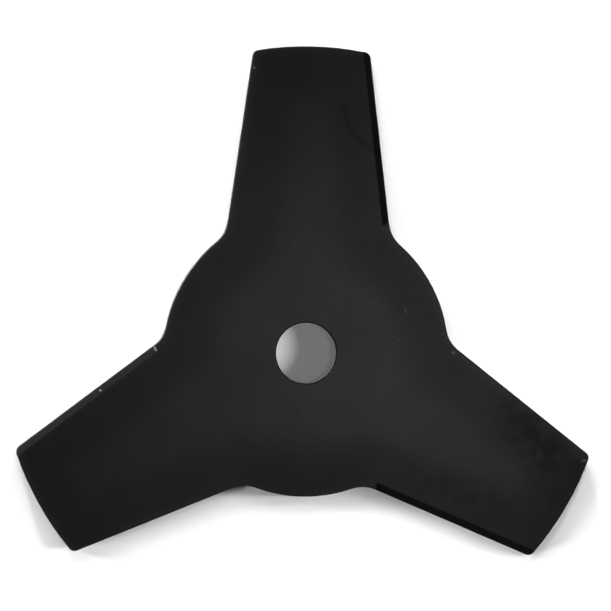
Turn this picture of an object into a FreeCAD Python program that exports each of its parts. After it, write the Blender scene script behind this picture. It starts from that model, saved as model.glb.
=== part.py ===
"""Three-toothed brush cutter blade: one flat steel plate, ground along the long edges of its teeth."""
import FreeCAD, Part
import math
import os

# All lengths are in millimetres. The blade lies on its underside in the XY plane, the bore's axis is Z,
# and the first tooth points along +Y.

# Plate
BLADE_DIAMETER = 255.0      # across the arcs of the tooth tips
PLATE_THICKNESS = 1.4
HUB_DIAMETER = 119.5        # of the round part between the teeth
BORE_DIAMETER = 25.4        # one inch, for the gearbox's centring collar
EDGE_BREAK = 0.15           # width of the deburred corners of the outline and of the bore

# Teeth
TOOTH_COUNT = 3
TIP_WIDTH = 49.1            # between the two corners of a tip, before they are rounded
EDGE_TAPER_DEG = 7.5        # lean of each long edge, which makes a tooth wider at its root
TIP_CORNER_RADIUS = 2.8
ROOT_FILLET_RADIUS = 13.3   # between a tooth's long edge and the hub

# Ground edges
GRIND_WIDTH = 2.9           # of the sloping band, measured square to the edge
EDGE_LAND = 0.3             # plate thickness left at the edge
GRIND_RUN_IN = 0.8          # length of the ramp where the grinding wheel entered the plate

CLOCKWISE_SIDE = 1          # a tooth's clockwise long edge, seen from above
COUNTER_CLOCKWISE_SIDE = -1
TOP = FreeCAD.Vector(0, 0, 1)
CENTRE = FreeCAD.Vector(0, 0, 0)


def edge_directions(side):
    """Of one long edge of the first tooth: the direction out of the plate, and along the edge to the tip."""
    taper = math.radians(EDGE_TAPER_DEG)
    outward = FreeCAD.Vector(side * math.cos(taper), math.sin(taper), 0)
    to_tip = FreeCAD.Vector(-side * math.sin(taper), math.cos(taper), 0)
    return outward, to_tip


def edge_offset():
    """Distance of a long edge's line from the bore's axis."""
    outward, _ = edge_directions(CLOCKWISE_SIDE)
    half_width = TIP_WIDTH / 2
    height = math.sqrt((BLADE_DIAMETER / 2) ** 2 - half_width ** 2)
    return outward.dot(FreeCAD.Vector(half_width, height, 0))


def round_centre(side, from_edge, from_axis):
    """Centre of a round, from_edge outside a long edge's line and from_axis away from the bore's axis."""
    outward, to_tip = edge_directions(side)
    across = edge_offset() + from_edge
    along = math.sqrt(from_axis ** 2 - across ** 2)
    return outward * across + to_tip * along


def root_fillet(side):
    """Points of the fillet between hub and long edge: on the hub, halfway, and on the edge."""
    outward, _ = edge_directions(side)
    hub_radius = HUB_DIAMETER / 2
    centre = round_centre(side, ROOT_FILLET_RADIUS, hub_radius + ROOT_FILLET_RADIUS)
    on_hub = FreeCAD.Vector(centre).normalize() * hub_radius
    on_edge = centre - outward * ROOT_FILLET_RADIUS
    return on_hub, arc_middle(centre, on_hub, on_edge), on_edge


def tip_corner(side):
    """Points of the round at a tip's corner: on the long edge, halfway, and on the tip's arc."""
    outward, _ = edge_directions(side)
    tip_radius = BLADE_DIAMETER / 2
    centre = round_centre(side, -TIP_CORNER_RADIUS, tip_radius - TIP_CORNER_RADIUS)
    on_edge = centre + outward * TIP_CORNER_RADIUS
    on_tip = FreeCAD.Vector(centre).normalize() * tip_radius
    return on_edge, arc_middle(centre, on_edge, on_tip), on_tip


def arc_middle(centre, start, end):
    """Middle of the shorter arc from start to end about centre."""
    radius = (start - centre).Length
    return centre + ((start - centre) + (end - centre)).normalize() * radius


def arc(start, middle, end):
    return Part.Arc(start, middle, end).toShape()


def on_circle(radius, angle_deg):
    angle = math.radians(angle_deg)
    return FreeCAD.Vector(radius * math.cos(angle), radius * math.sin(angle), 0)


def turned(point, angle_deg):
    return FreeCAD.Rotation(TOP, angle_deg).multVec(point)


def tooth_outline():
    """Edges of the first tooth's outline, counter-clockwise from the hub and back to it."""
    right_root = root_fillet(CLOCKWISE_SIDE)
    right_corner = tip_corner(CLOCKWISE_SIDE)
    left_root = root_fillet(COUNTER_CLOCKWISE_SIDE)
    left_corner = tip_corner(COUNTER_CLOCKWISE_SIDE)
    tip_middle = on_circle(BLADE_DIAMETER / 2, 90)
    return [
        arc(*right_root),
        Part.makeLine(right_root[2], right_corner[0]),
        arc(*right_corner),
        arc(right_corner[2], tip_middle, left_corner[2]),
        arc(*reversed(left_corner)),
        Part.makeLine(left_corner[0], left_root[2]),
        arc(*reversed(left_root)),
    ]


def hub_arc():
    """The hub's arc from the first tooth counter-clockwise to the next."""
    pitch = 360 / TOOTH_COUNT
    start = root_fillet(COUNTER_CLOCKWISE_SIDE)[0]
    end = turned(root_fillet(CLOCKWISE_SIDE)[0], pitch)
    return arc(start, on_circle(HUB_DIAMETER / 2, 90 + pitch / 2), end)


def around(shape):
    """The shape once for each tooth."""
    copies = []
    for number in range(TOOTH_COUNT):
        copy = shape.copy()
        copy.rotate(CENTRE, TOP, number * 360 / TOOTH_COUNT)
        copies.append(copy)
    return copies


def blanked_plate():
    """The flat plate with its bore, before grinding."""
    edges = []
    for edge in tooth_outline() + [hub_arc()]:
        edges += around(edge)
    wire = Part.Wire(Part.__sortEdges__(edges))
    plate = Part.Face(wire).extrude(TOP * PLATE_THICKNESS)
    bore = Part.makeCylinder(BORE_DIAMETER / 2, PLATE_THICKNESS)
    return plate.cut(bore)


def deburred(plate):
    """The plate with the corners all round its two faces taken off."""
    corners = [edge for edge in plate.Edges if edge.BoundBox.ZLength < PLATE_THICKNESS / 2]
    return plate.makeChamfer(EDGE_BREAK, corners)


def prism(points, travel):
    """The flat polygon through points, drawn out by travel."""
    return Part.Face(Part.makePolygon(points + points[:1])).extrude(travel)


def grinding_path(side):
    """What the grinding wheel takes off one long edge of the first tooth, from the upper face: the sloping
    band's section, drawn along the edge, within a travel whose ramp starts where the root fillet ends."""
    outward, to_tip = edge_directions(side)
    start = root_fillet(side)[2]
    band_slope = (PLATE_THICKNESS - EDGE_LAND) / GRIND_WIDTH
    ramp_slope = (PLATE_THICKNESS - EDGE_LAND) / GRIND_RUN_IN
    room = PLATE_THICKNESS      # how far the path reaches past the plate
    inside = GRIND_WIDTH + room / band_slope
    length = BLADE_DIAMETER / 2 + room - start.dot(to_tip)
    above = PLATE_THICKNESS + room
    below = EDGE_LAND - room * band_slope

    def at(out, along, height):
        return start + outward * out + to_tip * along + TOP * height

    band = [
        at(-inside, 0, above),
        at(room, 0, above),
        at(room, 0, below),
    ]
    travel = [
        at(-inside, 0, above),
        at(-inside, 0, PLATE_THICKNESS),
        at(-inside, (PLATE_THICKNESS - below) / ramp_slope, below),
        at(-inside, length, below),
        at(-inside, length, above),
    ]
    return prism(band, to_tip * length).common(prism(travel, outward * (inside + room)))


def turned_over(shape):
    """The shape after the blade is turned over about the first tooth's middle line."""
    copy = shape.copy()
    copy.rotate(FreeCAD.Vector(0, 0, PLATE_THICKNESS / 2), FreeCAD.Vector(0, 1, 0), 180)
    return copy


def blade():
    """The finished blade. Each tooth is ground on its clockwise edge from above, and on the other edge from
    below, so the blade is the same on both faces and can be turned over when one set of edges is dull."""
    upper_cut = grinding_path(CLOCKWISE_SIDE)
    cuts = around(upper_cut) + around(turned_over(upper_cut))
    return deburred(blanked_plate()).cut(cuts)


os.makedirs("parts", exist_ok=True)
finished = blade()
if len(finished.Solids) != 1 or not finished.isValid():
    raise ValueError("the blade isn't one valid solid")
finished.Solids[0].exportStep("parts/blade.step")
print("blade volume", round(finished.Volume, 1), "mm3, box", finished.optimalBoundingBox())
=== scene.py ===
"""Looks of the brush cutter blade: satin black paint over a ground steel plate, lying on a pale floor."""
import math

import bmesh
import bpy
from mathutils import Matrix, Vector

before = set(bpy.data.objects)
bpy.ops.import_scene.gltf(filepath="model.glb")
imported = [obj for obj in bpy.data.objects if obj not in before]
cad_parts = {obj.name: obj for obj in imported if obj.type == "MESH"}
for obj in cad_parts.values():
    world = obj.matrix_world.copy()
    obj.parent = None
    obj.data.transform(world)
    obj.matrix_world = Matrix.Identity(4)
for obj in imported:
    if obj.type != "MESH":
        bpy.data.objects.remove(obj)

# The blade's outline in millimetres, for the patterns that follow it
TIP_RADIUS = 127.5
HUB_RADIUS = 59.75
TOOTH_PITCH = 2 * math.pi / 3
EDGE_OFFSET = 40.67         # distance of the lines of a tooth's long edges from the bore's axis
EDGE_TAPER = math.radians(7.5)
ROOT_BLEND = 9.0            # how far the distance pattern is rounded off at the roots
PLATE_TOP = 1.4
MILLIMETRES = 1000.0        # in a metre

# Paint. A sheen is a share of the middle's unless it says otherwise.
PAINT_COLOUR = (0.0045, 0.0045, 0.0046, 1)
PAINT_ROUGHNESS = 0.37
PAINT_IOR = 1.5
STEEL_COLOUR = (0.62, 0.61, 0.59, 1)
MIDDLE_SHEEN = 0.5          # the shader's specular level in the middle of the face
MARGIN_SHEEN = 0.76         # of the dull margin along the outline
MARGIN_INSIDE = (13.0, 27.0)    # millimetres from the outline: the margin fades between these
RUB_SHEEN = 1.2             # added at the rubbed outline, where the paint is thin
RUB_WIDTH = 1.6             # in millimetres
RIM_DROP = 0.00022          # metres that the face falls off at its outline
RIM_WIDTH = 3.0             # in millimetres
FLAT_FACING = (0.95, 0.99)  # upright part of the normal: a face has more, a bevel or a wall has less
CORNER_ROUND = 0.0008       # metres: radius of the paint over the plate's corners
CORNER_SAMPLES = 6          # directions in which a corner is looked for
BORE_REACH = 12.95          # millimetres from the axis: the bore's wall and its corners, which have no gloss
BORE_SHARP = 0.99           # how sharply that ends: 1 is a hard line

# Unevenness of the paint: size in millimetres, the stretch of the noise that is used, and the sheen over it
CLOUDS = (26.0, (0.3, 0.7), (0.94, 1.06))
GRAIN = (0.8, (0.2, 0.8), (0.9, 1.1))
PEEL_SIZE = 1.4             # millimetres between the bumps of the sprayed paint
PEEL_HEIGHT = 0.0000018     # metres

# Places where the paint is chipped or rubbed: centre, half length, half width, turn in degrees, bareness
CHIPS = {
    "left_root": ((-63.3, 1.2), 1.1, 0.42, -56, 0.55),
    "lower_left_edge": ((-85.7, -16.5), 0.4, 0.32, -30, 0.9),
    "top_tooth_left_edge": ((-24.0, 118.2), 0.6, 0.5, 0, 0.15),
    "right_root": ((61.9, 1.1), 0.6, 0.6, 0, 0.12),
    "right_tip_corner": ((118.4, -43.3), 1.4, 0.55, 5, 0.09),
    "hub_scratch": ((41.3, 18.4), 1.3, 0.25, -70, 0.08),
    "hub_second_scratch": ((38.4, 6.0), 0.9, 0.25, -60, 0.05),
}
CHIP_SHARP = 0.4            # how sharply a chip ends: 1 is a hard line
SPOT_DEPTH = 0.9            # millimetres: a spot reaches at least this deep, so it takes in a ground edge

# The curved wipe mark on the first tooth, in millimetres: part of a ring
WIPE_CENTRE = (34.3, 103.7)
WIPE_RADIUS = 20.0
WIPE_HALF_WIDTH = 2.6
WIPE_END = (101.0, 108.0)   # it fades out between these places along the tooth
WIPE_SHEEN = 0.76

# Patches dulled by handling: centre, half length, half width, turn in degrees, share of the sheen that is
# lost, and how blotchy the patch is
DULL_PATCHES = {
    "right_tooth_tip": ((101.0, -38.0), 22.0, 9.5, -56, 0.4, 0.6),
    "right_tooth_bottom": ((66.0, -58.0), 20.0, 8.0, -22, 0.22, 0.6),
    "hub_bottom": ((4.0, -53.0), 30.0, 13.0, 0, 0.3, 0.1),
    "top_tooth": ((-7.0, 104.0), 26.0, 17.0, 90, 0.18, 0.1),
}
BLOTCH_SIZE = 6.0           # in millimetres
BLOTCH_DETAIL = 3.0
BLOTCH_NOISE = (0.38, 0.6)  # the stretch of the noise that is used
BLOTCH_LOSS = (-1.0, 0.25)  # what it adds to a patch's loss of sheen, as a share, where the patch is blotchy

# The Mix node's colour sockets by number, because its kinds share their names
MIX_FIRST_COLOUR = 6
MIX_SECOND_COLOUR = 7
MIX_COLOUR = 2

# Camera, in metres: nearly straight above the blade, a little to its left
CAMERA_PLACE = (-0.3078, 0.0813, 2.2793)
CAMERA_TURN = (-1.674, -7.648, 1.069)       # degrees about X, Y and Z
CAMERA_LENS = 326.0         # in millimetres, as the sensor
CAMERA_SENSOR = 36.0
CAMERA_REACH = 100.0        # farther than the floor's rim

# Floor, in metres
FLOOR_COLOUR = (0.9, 0.9, 0.9, 1)
FLOOR_RADIUS = 12.0
WELL_RADIUS = 0.045         # a shallow well under the hub, which the bore looks into
WELL_DEPTH = 0.007
FLOOR_STEPS = 96            # sides of the round floor
SAME_PLACE = 1e-6           # points closer than this become one

# Softbox over the blade, aimed at the bore: in metres and watts
SOFTBOX_PLACE = (0.142, -0.025, 0.7)
SOFTBOX_SIZE = 0.1
SOFTBOX_POWER = 0.202

# Far lights: azimuth, elevation and spread in degrees, and strength. First those that reach only the blade
BLADE_LIGHTS = {
    "high_left_light": (-70, 68, 16, 0.11),
    "high_right_light": (72, 52, 16, 0.04),
    "window_light": (-55, 13, 12, 8.4),
}

# A ring of weak broad lights round the blade, for its sheen in views from the side
RING_LIGHTS = 6
RING_LIGHT = (20, 50, 0.056)    # elevation, spread, strength

# Low lights that reach only the open floor: the blade's soft shadow lies where it hides them
FLOOR_LIGHTS = {
    "floor_left_light": (-75, 2, 4, 22.0),
    "floor_far_left_light": (-105, 4, 6, 11.7),
    "floor_back_left_light": (-15, 2, 4, 19.2),
    "floor_high_back_left_light": (-30, 7.5, 8, 3.4),
    "floor_high_back_light": (0, 13, 14, 1.6),
    "floor_high_back_right_light": (15, 7.5, 8, 4.1),
    "floor_near_right_light": (75, 4, 6, 5.3),
    "floor_right_light": (90, 2, 4, 11.5),
    "floor_high_right_light": (90, 4, 6, 9.4),
}

# Lights that reach only the well, which the bore shows
BORE_LIGHTS = {
    "bore_side_light": (97, 18.5, 24, 7.6),
    "bore_top_light": (-75, 82, 4, 0.45),
}


class Nodes:
    """Adds nodes to a material's tree. Each call gives back the new node's output."""

    def __init__(self, material):
        material.use_nodes = True
        self.tree = material.node_tree
        self.tree.nodes.clear()

    def add(self, kind, inputs=None, output=0, **settings):
        """A node of this kind. An input is a plain value, or another node's output that is linked to it."""
        node = self.tree.nodes.new(kind)
        for name, value in settings.items():
            setattr(node, name, value)
        for name, value in (inputs or {}).items():
            if isinstance(value, bpy.types.NodeSocket):
                self.tree.links.new(value, node.inputs[name])
            else:
                node.inputs[name].default_value = value
        return node.outputs[output] if len(node.outputs) else None

    def math(self, operation, *values):
        return self.add("ShaderNodeMath", dict(enumerate(values)), operation=operation)

    def ramp(self, value, low, high, to_low=0.0, to_high=1.0):
        """The value's stretch from low to high, spread smoothly over to_low to to_high."""
        inputs = {"Value": value, "From Min": low, "From Max": high, "To Min": to_low, "To Max": to_high}
        return self.add("ShaderNodeMapRange", inputs, interpolation_type="SMOOTHSTEP")

    def noise(self, place, size, detail=2.0):
        """Cloudy noise from 0 to 1 with spots of about the given size in millimetres."""
        return self.add("ShaderNodeTexNoise", {"Vector": place, "Scale": 1 / size, "Detail": detail})

    def spot(self, place, centre, half_length, half_width, turn, sharp):
        """1 inside an oval on the upper face and 0 outside. It fades between sharp and 2 - sharp times its
        radius."""
        local = self.add(
            "ShaderNodeMapping",
            {
                "Vector": place,
                "Location": (*centre, PLATE_TOP),
                "Rotation": (0, 0, math.radians(turn)),
                "Scale": (half_length, half_width, max(half_width, SPOT_DEPTH)),
            },
            vector_type="TEXTURE",
        )
        away = self.add("ShaderNodeVectorMath", {0: local}, output="Value", operation="LENGTH")
        return self.ramp(away, sharp, 2 - sharp, 1.0, 0.0)


def outline_distance(n, place):
    """Distance of a place inside the blade's outline, in millimetres."""
    x, y, _ = (n.add("ShaderNodeSeparateXYZ", {"Vector": place}, output=axis) for axis in range(3))
    radius = n.math("SQRT", n.math("ADD", n.math("MULTIPLY", x, x), n.math("MULTIPLY", y, y)))
    around = n.math("ARCTAN2", x, y)
    tooth = n.math("ROUND", n.math("DIVIDE", around, TOOTH_PITCH))
    angle = n.math("SUBTRACT", around, n.math("MULTIPLY", tooth, TOOTH_PITCH))
    across = n.math("ABSOLUTE", n.math("MULTIPLY", radius, n.math("SINE", angle)))
    along = n.math("MULTIPLY", radius, n.math("COSINE", angle))
    reach = n.math(
        "ADD",
        n.math("MULTIPLY", across, math.cos(EDGE_TAPER)),
        n.math("MULTIPLY", along, math.sin(EDGE_TAPER)),
    )
    from_edge = n.math("SUBTRACT", EDGE_OFFSET, reach)
    from_tip = n.math("SUBTRACT", TIP_RADIUS, radius)
    from_hub = n.math("SUBTRACT", HUB_RADIUS, radius)
    in_tooth = n.math("MINIMUM", from_edge, from_tip)
    return n.math("SMOOTH_MAX", in_tooth, from_hub, ROOT_BLEND)


def at_outline(n, inside, width, flat):
    """1 at the outline of a flat face, fading inwards over about the width in millimetres."""
    return n.math("MULTIPLY", n.math("EXPONENT", n.math("DIVIDE", inside, -width)), flat)


def uneven(n, place, pattern):
    """Sheen factor of one of the paint's noise patterns."""
    size, noise_range, sheen_range = pattern
    return n.ramp(n.noise(place, size), *noise_range, *sheen_range)


def wipe_mark(n, place):
    """Sheen factor of the curved wipe mark on the first tooth."""
    from_centre = n.add(
        "ShaderNodeVectorMath",
        {0: place, 1: (*WIPE_CENTRE, PLATE_TOP)},
        output="Value",
        operation="DISTANCE",
    )
    from_ring = n.math("ABSOLUTE", n.math("SUBTRACT", from_centre, WIPE_RADIUS))
    ring = n.ramp(from_ring, 0.0, WIPE_HALF_WIDTH, 1.0, 0.0)
    along = n.add("ShaderNodeSeparateXYZ", {"Vector": place}, output=1)
    mark = n.math("MULTIPLY", ring, n.ramp(along, *WIPE_END, 1.0, 0.0))
    return n.ramp(mark, 0.0, 1.0, 1.0, WIPE_SHEEN)


def dull_patches(n, place):
    """Sheen factor of the patches where the blade was handled."""
    blotches = n.ramp(n.noise(place, BLOTCH_SIZE, BLOTCH_DETAIL), *BLOTCH_NOISE, *BLOTCH_LOSS)
    sheen = 1.0
    for centre, half_length, half_width, turn, share, blotchy in DULL_PATCHES.values():
        patch = n.math("MULTIPLY", n.spot(place, centre, half_length, half_width, turn, sharp=0.0), share)
        lost = n.math("MULTIPLY", patch, n.math("MULTIPLY_ADD", blotches, blotchy, 1.0))
        sheen = n.math("SUBTRACT", sheen, lost)
    return sheen


def black_paint():
    """Satin black paint: sheen, grain, rubbed places and chips down to the steel."""
    material = bpy.data.materials.new("black_paint")
    n = Nodes(material)
    metres = n.add("ShaderNodeTexCoord", output="Object")
    place = n.add("ShaderNodeVectorMath", {0: metres, "Scale": MILLIMETRES}, operation="SCALE")
    normal = n.add("ShaderNodeTexCoord", output="Normal")
    facing = n.add("ShaderNodeSeparateXYZ", {"Vector": normal}, output=2)
    flat = n.ramp(n.math("ABSOLUTE", facing), *FLAT_FACING)
    inside = outline_distance(n, place)

    bare = 0.0
    for *oval, bareness in CHIPS.values():
        chip = n.math("MULTIPLY", n.spot(place, *oval, CHIP_SHARP), bareness)
        bare = n.math("MAXIMUM", bare, chip)

    margin = n.ramp(inside, *MARGIN_INSIDE, MARGIN_SHEEN, 1.0)
    rubbed = at_outline(n, inside, RUB_WIDTH, flat)
    sheen = n.math("ADD", margin, n.math("MULTIPLY", rubbed, RUB_SHEEN))
    clouds = uneven(n, place, CLOUDS)
    grain = uneven(n, place, GRAIN)
    in_bore = n.spot(place, (0, 0), BORE_REACH, BORE_REACH, 0, BORE_SHARP)
    off_bore = n.ramp(in_bore, 0.0, 1.0, 1.0, 0.0)
    for factor in (clouds, grain, off_bore, wipe_mark(n, place), dull_patches(n, place), MIDDLE_SHEEN):
        sheen = n.math("MULTIPLY", sheen, factor)

    rim = at_outline(n, inside, RIM_WIDTH, flat)
    peel = n.math("MULTIPLY", n.noise(place, PEEL_SIZE), PEEL_HEIGHT)
    height = n.math("MULTIPLY_ADD", rim, -RIM_DROP, peel)
    rounded = n.add("ShaderNodeBevel", {"Radius": CORNER_ROUND}, samples=CORNER_SAMPLES)
    bump = n.add("ShaderNodeBump", {"Height": height, "Distance": 1.0, "Strength": 1.0, "Normal": rounded})

    colour = n.add(
        "ShaderNodeMix",
        {"Factor": bare, MIX_FIRST_COLOUR: PAINT_COLOUR, MIX_SECOND_COLOUR: STEEL_COLOUR},
        output=MIX_COLOUR,
        data_type="RGBA",
    )
    shader = n.add(
        "ShaderNodeBsdfPrincipled",
        {
            "Base Color": colour,
            "Metallic": bare,
            "Roughness": PAINT_ROUGHNESS,
            "IOR": PAINT_IOR,
            "Specular IOR Level": sheen,
            "Normal": bump,
        },
    )
    n.add("ShaderNodeOutputMaterial", {"Surface": shader})
    return material


def floor_material():
    """Plain pale matt paper."""
    material = bpy.data.materials.new("pale_floor")
    n = Nodes(material)
    shader = n.add("ShaderNodeBsdfDiffuse", {"Color": FLOOR_COLOUR})
    n.add("ShaderNodeOutputMaterial", {"Surface": shader})
    return material


def floor_piece(name, profile, material):
    """A round piece of floor, turned from its profile of radii and heights."""
    mesh = bmesh.new()
    points = [mesh.verts.new((radius, 0, height)) for radius, height in profile]
    edges = [mesh.edges.new(pair) for pair in zip(points, points[1:])]
    bmesh.ops.spin(
        mesh,
        geom=points + edges,
        cent=(0, 0, 0),
        axis=(0, 0, 1),
        angle=2 * math.pi,
        steps=FLOOR_STEPS,
        use_merge=True,
    )
    bmesh.ops.remove_doubles(mesh, verts=mesh.verts, dist=SAME_PLACE)
    bmesh.ops.recalc_face_normals(mesh, faces=mesh.faces)
    data = bpy.data.meshes.new(name)
    mesh.to_mesh(data)
    mesh.free()
    data.materials.append(material)
    piece = bpy.data.objects.new(name, data)
    bpy.context.scene.collection.objects.link(piece)
    return piece


def lamp(name, light, place, towards):
    """Puts a light at a place, shining towards a direction."""
    piece = bpy.data.objects.new(name, light)
    piece.location = place
    piece.rotation_euler = towards.to_track_quat("-Z", "Y").to_euler()
    bpy.context.scene.collection.objects.link(piece)
    return piece


def far_light(name, azimuth, elevation, spread, strength):
    """Far soft light. Azimuth runs clockwise from the photograph's top; all angles in degrees."""
    light = bpy.data.lights.new(name, "SUN")
    light.energy = strength
    light.angle = math.radians(spread)
    around = math.radians(azimuth)
    up = math.radians(elevation)
    source = Vector((math.sin(around) * math.cos(up), math.cos(around) * math.cos(up), math.sin(up)))
    return lamp(name, light, source, -source)


def softbox(name, place, size, power):
    """Round softbox, aimed at the bore."""
    light = bpy.data.lights.new(name, "AREA")
    light.shape = "DISK"
    light.size = size
    light.energy = power
    return lamp(name, light, place, -Vector(place))


def only_lights(source, piece):
    """Keeps a lamp's light to one piece. All pieces still cast its shadow."""
    receivers = bpy.data.collections.new(source.name + "_receivers")
    receivers.objects.link(piece)
    source.light_linking.receiver_collection = receivers


def camera():
    """The camera at the photograph's viewing angle."""
    data = bpy.data.cameras.new("camera")
    data.sensor_width = CAMERA_SENSOR
    data.lens = CAMERA_LENS
    data.clip_end = CAMERA_REACH
    seen_from = bpy.data.objects.new("camera", data)
    seen_from.location = CAMERA_PLACE
    seen_from.rotation_euler = [math.radians(turn) for turn in CAMERA_TURN]
    bpy.context.scene.collection.objects.link(seen_from)
    bpy.context.scene.camera = seen_from


def studio_light(blade, open_floor, well):
    """All lights. Only the softbox reaches everything."""
    softbox("overhead_softbox", SOFTBOX_PLACE, SOFTBOX_SIZE, SOFTBOX_POWER)
    for name, values in BLADE_LIGHTS.items():
        only_lights(far_light(name, *values), blade)
    for number in range(RING_LIGHTS):
        azimuth = 360 / RING_LIGHTS * number
        only_lights(far_light(f"ring_light_{number + 1}", azimuth, *RING_LIGHT), blade)
    for name, values in FLOOR_LIGHTS.items():
        only_lights(far_light(name, *values), open_floor)
    for name, values in BORE_LIGHTS.items():
        only_lights(far_light(name, *values), well)


def dark_surroundings():
    """A black world, so that only the lamps light the scene, and Blender's standard view of its colours."""
    scene = bpy.context.scene
    scene.world = bpy.data.worlds.new("studio")
    scene.world.use_nodes = True
    scene.world.node_tree.nodes["Background"].inputs["Color"].default_value = (0, 0, 0, 1)
    scene.view_settings.view_transform = "Standard"


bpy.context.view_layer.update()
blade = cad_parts["blade"]
paint = black_paint()
for slot in blade.material_slots:
    slot.material = paint

pale = floor_material()
open_floor = floor_piece("floor", [(WELL_RADIUS, 0), (FLOOR_RADIUS, 0)], pale)
well = floor_piece("floor_well", [(0, -WELL_DEPTH), (WELL_RADIUS, -WELL_DEPTH), (WELL_RADIUS, 0)], pale)

camera()
studio_light(blade, open_floor, well)
dark_surroundings()
